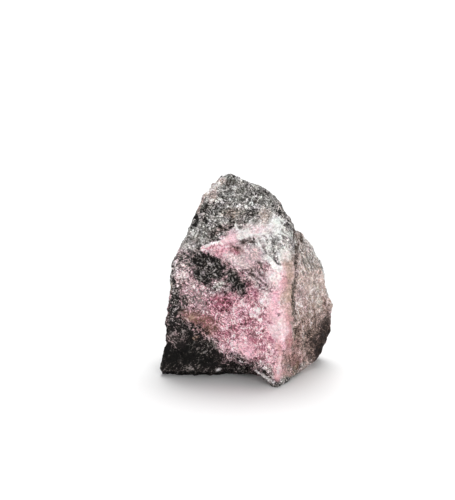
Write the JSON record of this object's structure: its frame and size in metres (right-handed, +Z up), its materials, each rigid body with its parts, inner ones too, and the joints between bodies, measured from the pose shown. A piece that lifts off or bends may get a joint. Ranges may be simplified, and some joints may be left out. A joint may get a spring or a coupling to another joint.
{
  "type": "rough rhodonite stone",
  "caption": "Hand-sized broken block of rough rhodonite, pink with black manganese oxide and pale veins, resting on a flat underside.",
  "frame": {"origin": "middle of the footprint's bounding box, on the flat underside", "axes": "+Z up along the stone's height, -Y toward the viewer of the broad front face, +X to that viewer's right"},
  "size_m": [0.0522, 0.0438, 0.0583],
  "materials": {
    "stone": "rough, granular broken mineral: pink rhodonite, near-black manganese oxide, white quartz and tan staining"
  },
  "bodies": {
    "root": {"stone": "stone"}
  },
  "joints": []
}
